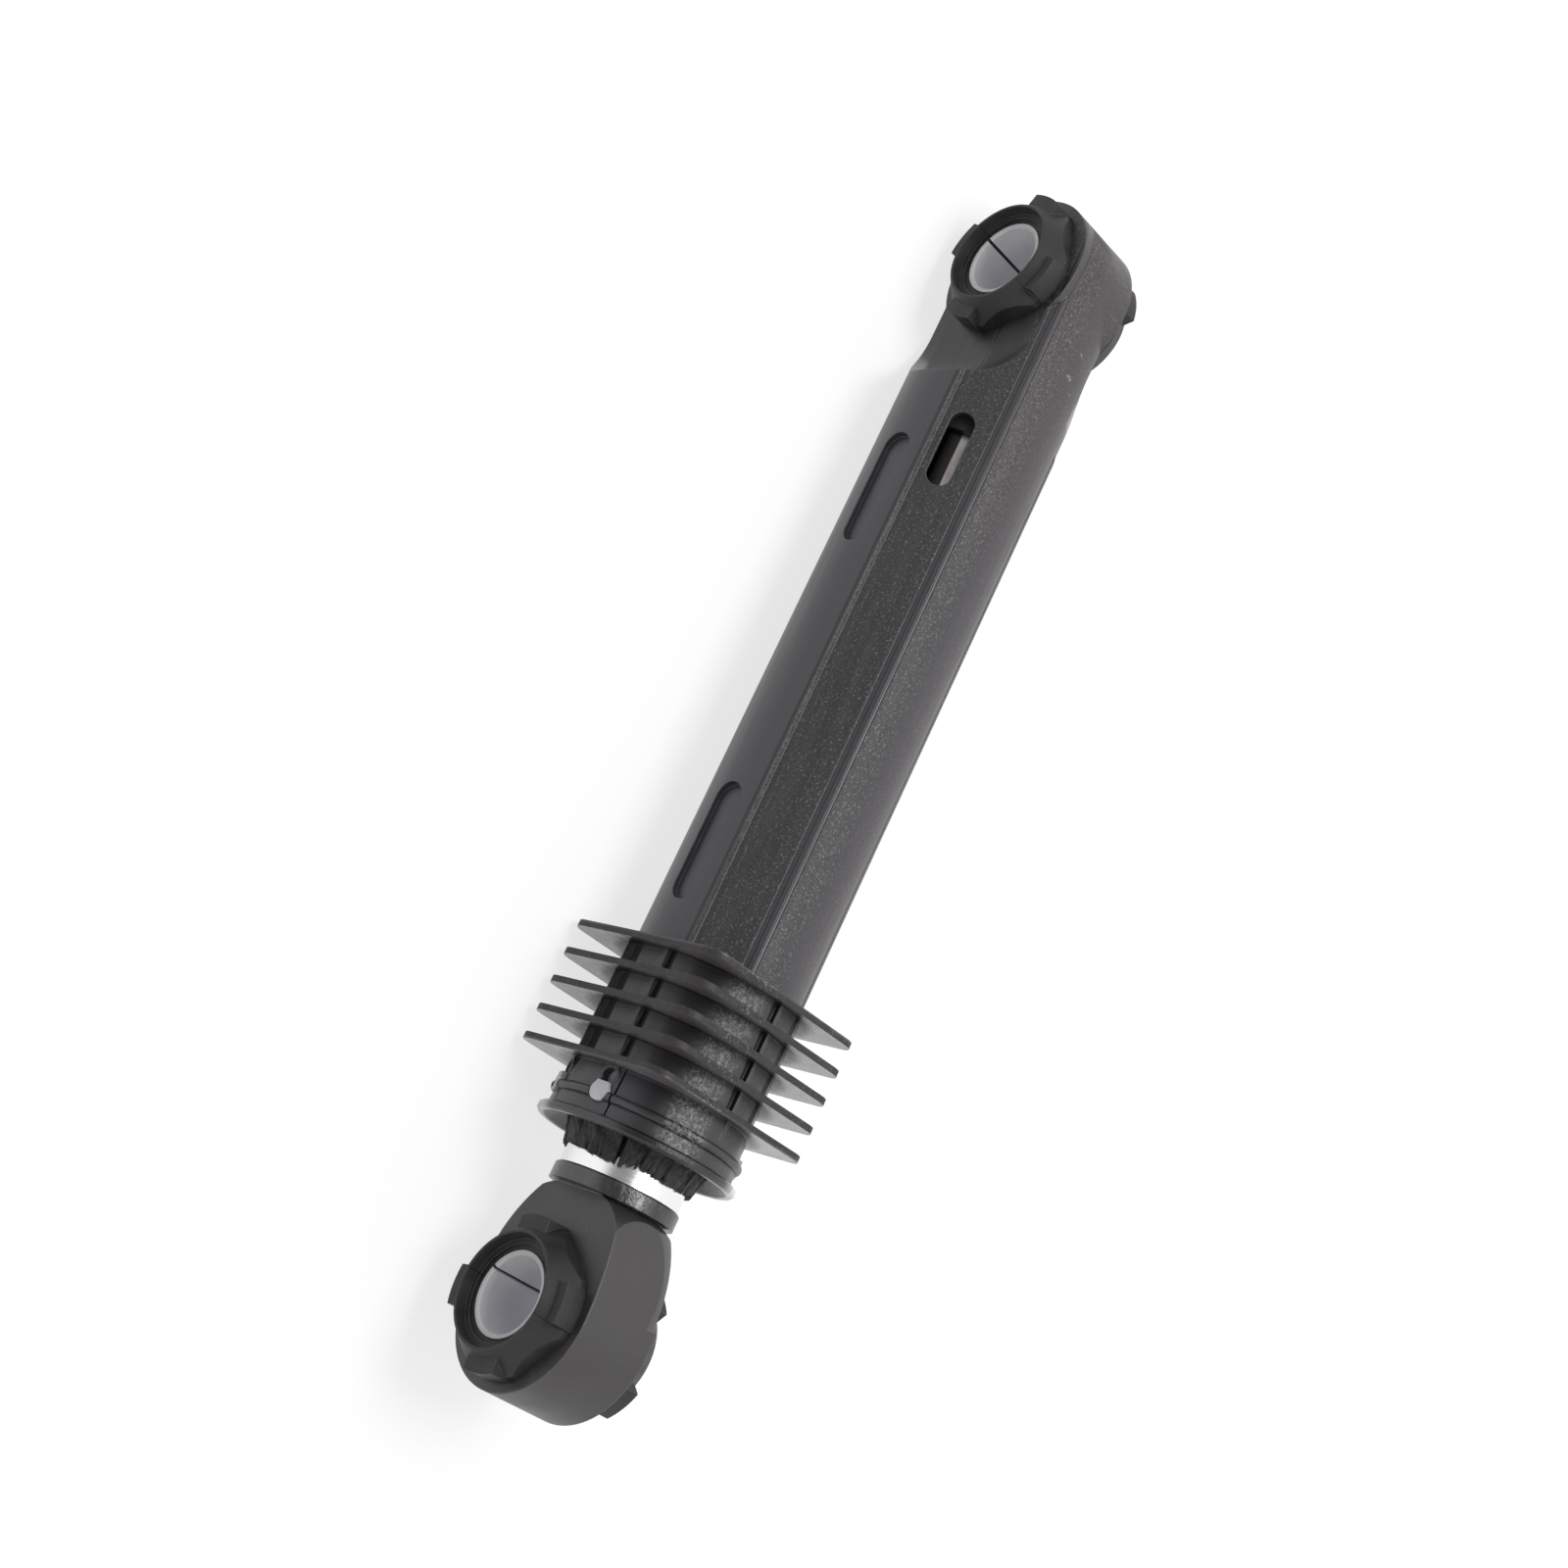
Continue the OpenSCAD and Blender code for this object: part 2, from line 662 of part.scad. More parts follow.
// Split ring that runs in the barrel's bore and on the plug's hub
module guide_ring() {
    ring_x0 = hub_x + plug_flange_t + end_gap;
    color([0.16, 0.16, 0.17])
    difference() {
        ring_x(ring_x0, ring_x0 + ring_len, bore_r - run_gap, hub_r + run_gap);
        at_angle(-flat_angle) translate([ring_x0 - overrun, -bore_r, -ring_cut_w / 2])
            cube([ring_len + 2 * overrun, bore_r, ring_cut_w]);
    }
}

module piston_tube() {
    color([0.78, 0.78, 0.8])
    ring_x(tube_x, tube_end_x, tube_r, tube_bore_r);
}

// Plug in the tube's inner end, with a hub for the guide ring and a flange that keeps it
module piston_plug() {
    plug_r = tube_bore_r - seat_gap;
    color([0.2, 0.2, 0.21])
    difference() {
        union() {
            disc_x(hub_x, hub_x + plug_flange_t, plug_flange_r);
            disc_x(hub_x, tube_x, hub_r);
            disc_x(hub_x, tube_x + plug_len, plug_r);
        }
        disc_x(hub_x - overrun, tube_x + plug_len + overrun, plug_r - plug_wall);
    }
}

// Outline of the neck and eye seen along the bore: curved sides from the collar to the eye
module neck_outline() {
    intersection() {
        translate([collar_x - collar_t / 2, -eye_r]) square([neck_len + collar_t / 2, 2 * eye_r]);
        translate([rod_eye_x, neck_curve_r - eye_r]) circle(r = neck_curve_r, $fn = 360);
        translate([rod_eye_x, eye_r - neck_curve_r]) circle(r = neck_curve_r, $fn = 360);
    }
    translate([rod_eye_x, 0]) circle(r = eye_r);
}

// Body of revolution that rounds the neck's corners towards the collar, with a curve of radius r
// round a centre that lies center_r from the axis and reach from the collar
module neck_dome(center_r, r, reach) {
    dome_steps = 12;
    // Angle at which the dome's curve meets the collar's face
    start = acos(min(1, reach / r));
    reach_r = sqrt(cheek_y * cheek_y + eye_r * eye_r) + overrun;
    along_x() rotate_extrude() polygon(concat(
        [[0, collar_x - collar_t / 2], [center_r + r * sin(start), collar_x - collar_t / 2]],
        [for (i = [0:dome_steps])
            let (a = start + (90 - start) * i / dome_steps)
            [center_r + r * sin(a), collar_x + reach - r * cos(a)]],
        [[reach_r, collar_x + reach], [reach_r, rod_eye_x + reach_r], [0, rod_eye_x + reach_r]]));
}

// The neck's two blunt corners lie at -Y -Z and +Y +Z; this is the room round the other two
module sharp_corners() {
    for (half_turn = [0, 180]) rotate([half_turn, 0, 0])
        translate([collar_x - collar_t, -cheek_y, 0])
            cube([neck_len + collar_t + eye_r, cheek_y, eye_r]);
}

module rod_end() {
    spigot_r = tube_bore_r - seat_gap;
    color([0.13, 0.13, 0.14])
    difference() {
        union() {
            intersection() {
                translate([0, cheek_y, 0]) rotate([90, 0, 0]) linear_extrude(eye_w) neck_outline();
                neck_dome(dome_center_r, dome_r, dome_reach);
                union() {
                    neck_dome(blunt_top_r - blunt_r, blunt_r, blunt_reach);
                    sharp_corners();
                }
            }
            along_x() rotate_extrude() polygon([
                [0, tube_end_x], [collar_r - collar_chamfer, tube_end_x],
                [collar_r, tube_end_x + collar_chamfer], [collar_r, collar_x], [0, collar_x]]);
            disc_x(tube_end_x - spigot_len, tube_end_x + collar_t / 2, spigot_r);
        }
        eye_hole(rod_eye_x);
        disc_x(tube_end_x - spigot_len - overrun, tube_end_x, spigot_r - spigot_wall);
    }
}

housing();
housing_bush();
housing_sleeve();
friction_cage();
inner_lining();
outer_lining();
mouth_guide();
bump_stop();
guide_ring();
piston_tube();
piston_plug();
rod_end();
rod_bush();
rod_sleeve();
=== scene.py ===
import math
import random

import bmesh
import bpy
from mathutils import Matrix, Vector, noise


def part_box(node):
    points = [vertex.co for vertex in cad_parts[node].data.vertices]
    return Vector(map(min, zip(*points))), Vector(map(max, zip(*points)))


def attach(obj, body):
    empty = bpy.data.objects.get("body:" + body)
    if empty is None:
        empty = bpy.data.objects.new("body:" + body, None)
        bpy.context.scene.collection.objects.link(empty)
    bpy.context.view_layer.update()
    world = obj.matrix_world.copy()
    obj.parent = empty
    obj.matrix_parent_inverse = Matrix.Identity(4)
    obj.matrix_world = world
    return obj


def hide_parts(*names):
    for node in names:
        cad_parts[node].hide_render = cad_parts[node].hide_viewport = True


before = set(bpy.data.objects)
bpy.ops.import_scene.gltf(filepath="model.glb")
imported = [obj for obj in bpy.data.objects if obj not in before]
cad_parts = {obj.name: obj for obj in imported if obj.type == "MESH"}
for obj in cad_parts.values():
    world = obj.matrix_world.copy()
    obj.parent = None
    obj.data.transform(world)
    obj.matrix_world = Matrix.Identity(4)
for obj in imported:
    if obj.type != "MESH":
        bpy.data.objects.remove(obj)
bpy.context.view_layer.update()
scene = bpy.context.scene

MM = 0.001


# ---------------------------------------------------------------- camera

# Fitted to the photograph's outlines of both eyes, the barrel, the fins and the mouth
cam_data = bpy.data.cameras.new("camera")
cam_data.lens = 62.157
cam_data.sensor_width = 36.0
cam_data.clip_start = 0.01
cam_data.clip_end = 20.0
cam = bpy.data.objects.new("camera", cam_data)
cam.location = (0.23993278, -0.30962549, 0.35717754)
cam.rotation_euler = [math.radians(a) for a in (-7.35711742, -42.28415211, 123.89263800)]
scene.collection.objects.link(cam)
scene.camera = cam
scene.view_settings.view_transform = "Standard"


# ---------------------------------------------------------------- node helpers

def put(tree, kind, inputs=None, **props):
    """New shader node; inputs are values or sockets to link."""
    node = tree.nodes.new(kind)
    for key, value in props.items():
        setattr(node, key, value)
    for key, value in (inputs or {}).items():
        if isinstance(value, bpy.types.NodeSocket):
            tree.links.new(value, node.inputs[key])
        else:
            node.inputs[key].default_value = value
    return node


def calc(tree, op, *args):
    """Math node of the given operation."""
    return put(tree, "ShaderNodeMath", dict(enumerate(args)), operation=op).outputs[0]


def mul(tree, *args):
    """Product of all values."""
    total = args[0]
    for arg in args[1:]:
        total = calc(tree, "MULTIPLY", total, arg)
    return total


def add(tree, *args):
    """Sum of all values."""
    total = args[0]
    for arg in args[1:]:
        total = calc(tree, "ADD", total, arg)
    return total


def span(tree, value, low, high, to_low=0.0, to_high=1.0):
    """Value taken smoothly from low..high to to_low..to_high, clamped."""
    node = put(tree, "ShaderNodeMapRange",
               {"Value": value, "From Min": low, "From Max": high,
                "To Min": to_low, "To Max": to_high}, interpolation_type="SMOOTHSTEP")
    return node.outputs[0]


def band(tree, value, low, high, soft):
    """1 between low and high, with soft borders."""
    return mul(tree, span(tree, value, low - soft, low + soft),
               span(tree, value, high - soft, high + soft, 1.0, 0.0))


def fractal(tree, vector, scale, detail=2.0, rough=0.5, stretch=None):
    """Noise at the given cycles per metre, stretched along an axis if asked."""
    if stretch:
        vector = put(tree, "ShaderNodeMapping", {"Vector": vector, "Scale": stretch}).outputs[0]
    node = put(tree, "ShaderNodeTexNoise",
               {"Vector": vector, "Scale": scale, "Detail": detail, "Roughness": rough})
    return node.outputs[0]


def blend(tree, fac, a, b):
    """Colour a to colour b by fac."""
    node = put(tree, "ShaderNodeMix", data_type="RGBA")
    for socket, value in ((node.inputs[0], fac), (node.inputs[6], a), (node.inputs[7], b)):
        if isinstance(value, bpy.types.NodeSocket):
            tree.links.new(value, socket)
        elif socket is node.inputs[0]:
            socket.default_value = value
        else:
            socket.default_value = (*value, 1.0)
    return node.outputs[2]


def paint(tree, base, *layers):
    """Base colour with each (mask, colour) laid over it in turn."""
    for mask, colour in layers:
        base = blend(tree, mask, base, colour)
    return base


def relief(tree, height, depth=1.0, normal=None):
    """Bump of the given depth in metres."""
    inputs = {"Height": height, "Distance": depth}
    if normal is not None:
        inputs["Normal"] = normal
    return put(tree, "ShaderNodeBump", inputs).outputs[0]


def new_material(name):
    """Material with its node tree, its shader and its texture coordinates."""
    mat = bpy.data.materials.new(name)
    mat.use_nodes = True
    tree = mat.node_tree
    shader = tree.nodes["Principled BSDF"]
    coords = put(tree, "ShaderNodeTexCoord")
    return mat, tree, shader, coords


def connect(tree, shader, colour, roughness, normal, ior=1.5):
    """Feeds the shader's colour, roughness and normal, and sets its IOR."""
    tree.links.new(colour, shader.inputs["Base Color"])
    tree.links.new(roughness, shader.inputs["Roughness"])
    tree.links.new(normal, shader.inputs["Normal"])
    shader.inputs["IOR"].default_value = ior


def axis_parts(tree, vector):
    """The three parts of a vector."""
    return put(tree, "ShaderNodeSeparateXYZ", {0: vector}).outputs[:]


def polar(tree, pos):
    """Place along the barrel, angle round it in degrees and radius."""
    x, y, z = axis_parts(tree, pos)
    angle = mul(tree, calc(tree, "ARCTAN2", z, mul(tree, y, -1.0)), 180.0 / math.pi)
    radius = calc(tree, "SQRT", add(tree, mul(tree, y, y), mul(tree, z, z)))
    return x, angle, radius


def dust(tree, pos, scale, size, share):
    """Sparse small dots."""
    cells = put(tree, "ShaderNodeTexVoronoi", {"Vector": pos, "Scale": scale})
    chosen = put(tree, "ShaderNodeSeparateColor", {0: cells.outputs["Color"]}).outputs[0]
    return mul(tree, span(tree, cells.outputs["Distance"], size * scale, size * scale * 0.5),
               span(tree, chosen, 1.0 - share, 1.0 - share + 0.02))


def soft_edges(tree, radius, level=0.985, turned=0.90):
    """Normal rounded along edges, and a mask that is 1 along them."""
    rounded = put(tree, "ShaderNodeBevel", {"Radius": radius}, samples=6).outputs[0]
    plain = put(tree, "ShaderNodeNewGeometry").outputs["Normal"]
    same = put(tree, "ShaderNodeVectorMath", {0: rounded, 1: plain},
               operation="DOT_PRODUCT").outputs["Value"]
    return rounded, span(tree, same, level, turned)


# ---------------------------------------------------------------- materials

# Where the finishes change along the tube (x) and out from its axis (radius)
DRUM_X = 147.9 * MM                     # the barrel ends and the finned drum begins
FINS_X = (148.2 * MM, 170.9 * MM)
FINS_SOFT = 0.1 * MM
EYE_END_X = (15.0 * MM, 75.0 * MM)      # brownish near the housing eye, fading out
FLARE_X = 179.0 * MM                    # inside of the mouth's flare
RIM_X = 179.7 * MM                      # back of the mouth's rim
LIP_X = 181.1 * MM                      # its front edge
COLLAR_X = (188.18 * MM, 191.1 * MM)    # front and back of the rod end's collar
BORE_R, SKIN_R = 13.0 * MM, 14.2 * MM   # just outside the bore, and in the barrel's wall
DRUM_R, FIN_ROOT_R = 17.1 * MM, 17.6 * MM

# Zones round the barrel and drum: from, to and softness of the border, in degrees of turn
ZONES = {
    "flat": (24.6, 62.0, 0.5),          # dark grained flat of the barrel
    "right": (69.5, 96.0, 0.8),         # paler grained band above it
    "upper": (98.0, 119.0, 4.0),        # fine grain towards the far side
    "ridge": (23.0, 24.9, 0.35),        # painted highlight along the ridge below the flat
    "groove": (20.4, 22.5, 0.7),        # painted shade in the groove below that
    "inner": (29.4, 30.4, 0.5),         # faint line on the flat
    "dark_a": (60.6, 61.8, 0.6),        # painted shade in the grooves between the flat and the paler band
    "dark_b": (67.6, 69.4, 0.5),
    "scoop": (-75.0, 12.0, 9.0),        # curve beside the housing eye, with a painted reflection on it
    "mottled": (57.0, 82.0, 6.0),       # clumpy band of the drum: real grain, painted highlight
    "drum_top": (96.0, 125.0, 5.0),     # the same painted highlight, fainter
    "drum_low": (-7.0, 40.0, 5.0),      # lilac painted reflection on the drum's front
    "slot": (-24.0, -9.5, 0.7),         # painted shade standing in for a deep slot between the fins
    "rib_shade": (16.0, 21.0, 0.8),     # shade on the wall beside a rib
    "wall_shade": (34.0, 54.0, 4.0),    # half shade further on
    "rim_top": (36.0, 100.0, 6.0),      # dark part of the mouth's rim
}


def housing_material():
    """Black glass-filled moulding: grained flats, smooth shoulders, mottled drum, painted light
    and shade.
    """
    mat, tree, shader, coords = new_material("black_moulding")
    pos = coords.outputs["Object"]
    x, angle, radius = polar(tree, pos)
    z = axis_parts(tree, pos)[2]
    # The barrel's features repeat on its far side
    turn = calc(tree, "WRAP", angle, 120.0, -60.0)
    zone = {name: band(tree, turn, *limits) for name, limits in ZONES.items()}
    barrel = span(tree, x, DRUM_X, DRUM_X - 0.5 * MM)
    drum = span(tree, x, DRUM_X - 0.5 * MM, DRUM_X)
    skin = span(tree, radius, BORE_R, SKIN_R)
    grain = fractal(tree, pos, 2300.0, 2.0, 0.6)
    fine = fractal(tree, pos, 4800.0, 2.0, 0.6)
    cloud = fractal(tree, pos, 70.0, 3.0, 0.55, (0.3, 1.0, 1.0))
    streak = fractal(tree, pos, 620.0, 3.0, 0.6, (0.06, 1.0, 1.0))
    patchy = fractal(tree, pos, 210.0, 3.0, 0.6)
    clumps = span(tree, fractal(tree, pos, 1250.0, 4.0, 0.75), 0.47, 0.60)
    scratch = fractal(tree, pos, 900.0, 3.0, 0.7, (1.0, 0.35, 1.0))
    # Barrel: flats, shoulders and the thin lines along it, with a painted highlight and painted
    # shade
    flat = mul(tree, zone["flat"], barrel)
    right = mul(tree, zone["right"], span(tree, turn, 104.0, 76.0), barrel)
    left = mul(tree, span(tree, turn, 24.0, 20.0), barrel)
    ridge = mul(tree, zone["ridge"], barrel)
    inner = mul(tree, zone["inner"], barrel)
    groove = mul(tree, zone["groove"], barrel, 0.85)
    upper_groove_shade = calc(tree, "MAXIMUM", mul(tree, zone["dark_a"], barrel, 0.7),
                       mul(tree, zone["dark_b"], barrel, 0.85))
    groove_shade = calc(tree, "MAXIMUM", groove, upper_groove_shade)
    warm = mul(tree, barrel, calc(
        tree, "MAXIMUM",
        mul(tree, span(tree, turn, 62.0, 74.0), span(tree, x, EYE_END_X[1], EYE_END_X[0])),
        span(tree, turn, 99.0, 117.0, 0.0, 0.8)))
    # Drum: mottled band with a painted highlight, and between the fins painted shade for a deep
    # slot, painted shade beside the ribs and on the floors of the recesses, painted highlight on
    # the rib tops
    mottled = mul(tree, zone["mottled"], drum)
    finned = band(tree, x, *FINS_X, FINS_SOFT)
    wall = mul(tree, span(tree, radius, FIN_ROOT_R, DRUM_R), finned)
    slot_shade = mul(tree, zone["slot"], wall)
    shade = mul(tree, calc(tree, "MAXIMUM", zone["rib_shade"], mul(tree, zone["wall_shade"], 0.5)),
                wall)
    recess_shade = mul(tree, span(tree, radius, 16.7 * MM, 16.5 * MM), finned)
    rib_top_highlight = mul(tree, band(tree, radius, 16.98 * MM, 17.35 * MM, 0.04 * MM), finned)
    # Fins: pale faces from a painted reflection, darker edges
    normal_x = calc(tree, "ABSOLUTE", axis_parts(tree, coords.outputs["Normal"])[0])
    fin_face_reflection = mul(tree, span(tree, normal_x, 0.8, 0.95),
                   span(tree, radius, FIN_ROOT_R, 20.5 * MM))
    fin_edge = mul(tree, span(tree, radius, 18.2 * MM, 19.0 * MM),
                   span(tree, normal_x, 0.6, 0.4), finned)
    # The scoop's curve beside the housing eye: painted reflection where it turns to the barrel's
    # edge
    from_eye = calc(tree, "SQRT", add(tree, mul(tree, x, x), mul(tree, z, z)))
    scoop_reflection = mul(tree, band(tree, from_eye, 24.0 * MM, 27.8 * MM, 0.9 * MM), zone["scoop"],
                span(tree, radius, 16.3 * MM, 16.0 * MM))
    # The mouth: painted reflection on the rim's sides, painted light inside the flare, highlight
    # on the lip
    rim = mul(tree, span(tree, x, RIM_X, RIM_X + 0.2 * MM),
              span(tree, radius, 17.4 * MM, 17.6 * MM))
    rim_side_reflection = mul(tree, rim, calc(tree, "MAXIMUM", span(tree, turn, -11.0, -24.0),
                                   span(tree, turn, 106.0, 119.0, 0.0, 0.5)))
    front = mul(tree, span(tree, x, FLARE_X, FLARE_X + 0.4 * MM),
                span(tree, radius, 17.22 * MM, 17.08 * MM))
    lip_highlight = mul(tree, span(tree, x, LIP_X, LIP_X + 0.2 * MM),
                     band(tree, radius, 17.35 * MM, 17.75 * MM, 0.1 * MM))
    # Painted light on the inside of the flare, clumpy, dark over most of the turn
    flare_light = paint(tree, (0.1900, 0.1550, 0.1650),
                  (span(tree, clumps, 0.2, 0.9), (0.0400, 0.0320, 0.0340)),
                  (span(tree, turn, -20.0, 0.0), (0.0080, 0.0070, 0.0070)))
    # How much the coarse grain shows, as pale specks of painted glint and dark pits
    amount = add(tree, right, mottled, mul(tree, zone["upper"], barrel, 0.4),
                 mul(tree, flat, span(tree, turn, 42.0, 60.0, 0.50, 0.75)))
    glint = mul(tree, span(tree, grain, 0.55, 0.68), amount)
    pit = mul(tree, span(tree, grain, 0.47, 0.36), amount)
    # Pale edges, partly wear and partly painted highlight; pale scuffs beside the housing eye; a
    # little dust
    rounded, edges = soft_edges(tree, 0.28 * MM)
    edge_wear_and_sheen = mul(tree, edges, span(tree, patchy, 0.3, 0.6, 0.3, 0.9))
    scuff_spot = mul(tree, band(tree, x, 10.5 * MM, 21.5 * MM, 4.0 * MM),
                     band(tree, angle, 88.0, 104.0, 5.0))
    flat_tone = blend(tree, span(tree, streak, 0.35, 0.65),
                      (0.0090, 0.0090, 0.0095), (0.0200, 0.0198, 0.0200))
    base = paint(
        tree, blend(tree, cloud, (0.0440, 0.0410, 0.0490), (0.0510, 0.0475, 0.0570)),
        (mul(tree, flat, 0.85), flat_tone),
        # Painted light and shade on the drum: darker overall, a lilac reflection on its front,
        # paler on its lower side
        (mul(tree, drum, 0.8), (0.0140, 0.0138, 0.0148)),
        (mul(tree, zone["drum_low"], drum, 0.8), (0.0480, 0.0455, 0.0530)),
        (mul(tree, span(tree, turn, -25.0, -30.0), drum, 0.8), (0.1000, 0.0930, 0.0980)),
        # Painted clumpy highlight on the top of the drum, fainter further round
        (mul(tree, mottled, clumps), (0.2300, 0.2250, 0.2200)),
        (mul(tree, zone["drum_top"], drum, clumps, 0.35), (0.0900, 0.0840, 0.0880)),
        (mul(tree, right, 0.6), (0.0190, 0.0180, 0.0160)),
        (mul(tree, warm, 0.8), (0.0500, 0.0390, 0.0400)),
        # Painted shade on the floors of the recesses, painted highlight on the tops of the ribs
        (mul(tree, recess_shade, 0.55), (0.0070, 0.0068, 0.0076)),
        (mul(tree, rib_top_highlight, 0.8), (0.0650, 0.0630, 0.0650)),
        # Painted reflection on the scoop's curve
        (mul(tree, scoop_reflection, span(tree, patchy, 0.3, 0.6, 0.5, 0.95)), (0.4200, 0.4000, 0.4050)),
        # Painted glints on the grain
        (glint, (0.1700, 0.1640, 0.1520)),
        (mul(tree, pit, 0.8), (0.0060, 0.0060, 0.0060)),
        # Painted highlight along the ridge below the flat
        (mul(tree, ridge, span(tree, streak, 0.36, 0.62, 0.25, 0.95),
             span(tree, grain, 0.35, 0.60)), (0.1700, 0.1650, 0.1620)),
        (mul(tree, inner, span(tree, grain, 0.45, 0.65, 0.1, 0.6)), (0.0900, 0.0880, 0.0860)),
        # Painted shade in the grooves
        (groove_shade, (0.0060, 0.0060, 0.0065)),
        # Painted shade for the deep slot and on the walls beside the ribs
        (calc(tree, "MAXIMUM", slot_shade, shade), (0.0030, 0.0030, 0.0032)),
        # Painted reflection on the fins' faces
        (mul(tree, fin_face_reflection, span(tree, cloud, 0.2, 0.8, 0.6, 1.0)), (0.3300, 0.2950, 0.3100)),
        # Pale edges: partly wear, partly painted highlight
        (mul(tree, edge_wear_and_sheen, 0.75), (0.1500, 0.1450, 0.1480)),
        (mul(tree, scuff_spot, span(tree, scratch, 0.62, 0.69), 0.85),
         (0.3300, 0.3000, 0.2800)),
        (mul(tree, dust(tree, pos, 150.0, 0.19 * MM, 0.12), 0.7), (0.2600, 0.2500, 0.2450)),
        (mul(tree, rim, zone["rim_top"], 0.9), (0.0045, 0.0045, 0.0047)),
        # Painted reflection on the rim's sides
        (rim_side_reflection, (0.9000, 0.8700, 0.8800)),
        # Painted light inside the flare
        (mul(tree, front, 0.95), flare_light),
        # Painted highlight along the lip
        (mul(tree, lip_highlight, span(tree, patchy, 0.3, 0.6, 0.35, 0.9)),
         (0.4000, 0.3850, 0.3900)),
        (mul(tree, fin_edge, span(tree, grain, 0.66, 0.56), 0.9), (0.0040, 0.0040, 0.0042)))
    # Inside it stays dark
    base = blend(tree, skin, (0.0070, 0.0068, 0.0068), base)
    rough = add(tree, span(tree, streak, 0.3, 0.7, 0.33, 0.41),
                mul(tree, flat, 0.12), mul(tree, right, 0.20), mul(tree, mottled, 0.06),
                mul(tree, fin_face_reflection, -0.16), mul(tree, slot_shade, 0.5), mul(tree, shade, 0.3),
                mul(tree, patchy, 0.03), mul(tree, rim, -0.06), mul(tree, fin_edge, 0.25))
    # Relief: coarse grain where it shows, fine grain all over, dark lines sunk
    coarse = add(tree, 0.05, mul(tree, amount, 0.9), mul(tree, drum, 0.12))
    height = add(tree, mul(tree, grain, coarse, add(tree, 0.00007, mul(tree, mottled, 0.00007))),
                 mul(tree, fine, coarse, 0.000016),
                 mul(tree, streak, left, 0.000006), mul(tree, groove_shade, -0.00012))
    connect(tree, shader, base, rough, relief(tree, height, normal=rounded))
    shader.inputs["Specular IOR Level"].default_value = 0.7
    return mat


def satin_material():
    """Smoother black moulding of the rod end, glossier on its collar."""
    mat, tree, shader, coords = new_material("rod_moulding")
    pos = coords.outputs["Object"]
    x, angle, _ = polar(tree, pos)
    collar_front, collar_back = COLLAR_X
    collar = span(tree, x, collar_back + 0.5 * MM, collar_back)
    behind = span(tree, x, collar_back, collar_back + 0.5 * MM)
    front = span(tree, x, collar_front + 0.2 * MM, collar_front)
    cloud = fractal(tree, pos, 90.0, 3.0, 0.55)
    grain = fractal(tree, pos, 2200.0, 2.0, 0.6)
    fine = fractal(tree, pos, 5200.0, 2.0, 0.6)
    lines = fractal(tree, pos, 1500.0, 3.0, 0.6, (0.25, 1.0, 1.0))
    flank = mul(tree, span(tree, angle, 50.0, 62.0), span(tree, cloud, 0.30, 0.62, 0.45, 0.95))
    collar_highlight = mul(tree, collar, add(tree, 0.12, band(tree, angle, 54.0, 78.0, 8.0)))
    rounded, edges = soft_edges(tree, 0.45 * MM, 0.996, 0.95)
    base = paint(
        tree, blend(tree, cloud, (0.0300, 0.0292, 0.0315), (0.0400, 0.0390, 0.0420)),
        (mul(tree, span(tree, grain, 0.54, 0.68), 0.5), (0.0850, 0.0800, 0.0820)),
        (flank, (0.0310, 0.0270, 0.0272)),
        # The collar, all painted light and shade: dark above, lilac reflection in the middle,
        # highlight in streaks, pale reflection below
        (mul(tree, collar, span(tree, angle, 26.0, 40.0), 0.6), (0.0140, 0.0135, 0.0140)),
        (mul(tree, collar, band(tree, angle, -6.0, 30.0, 6.0), 0.7), (0.0900, 0.0880, 0.0960)),
        (mul(tree, collar_highlight, span(tree, lines, 0.44, 0.62)), (0.2600, 0.2520, 0.2440)),
        (mul(tree, collar, span(tree, angle, 0.0, -30.0), 0.9), (0.1800, 0.1700, 0.1750)),
        # Painted shade along the collar's front edge
        (mul(tree, front, 0.8), (0.0060, 0.0060, 0.0062)),
        # Painted highlight on the edges behind the collar
        (mul(tree, edges, behind, 0.6), (0.1700, 0.1620, 0.1680)),
        (mul(tree, dust(tree, pos, 170.0, 0.20 * MM, 0.20), 0.6), (0.2400, 0.2350, 0.2350)))
    rough = add(tree, span(tree, cloud, 0.3, 0.7, 0.40, 0.48), mul(tree, collar, -0.15))
    height = add(tree, mul(tree, grain, add(tree, 0.25, mul(tree, collar, 0.75)), 0.00007),
                 mul(tree, fine, 0.000004))
    connect(tree, shader, base, rough, relief(tree, height, normal=rounded))
    shader.inputs["Specular IOR Level"].default_value = 0.75
    return mat


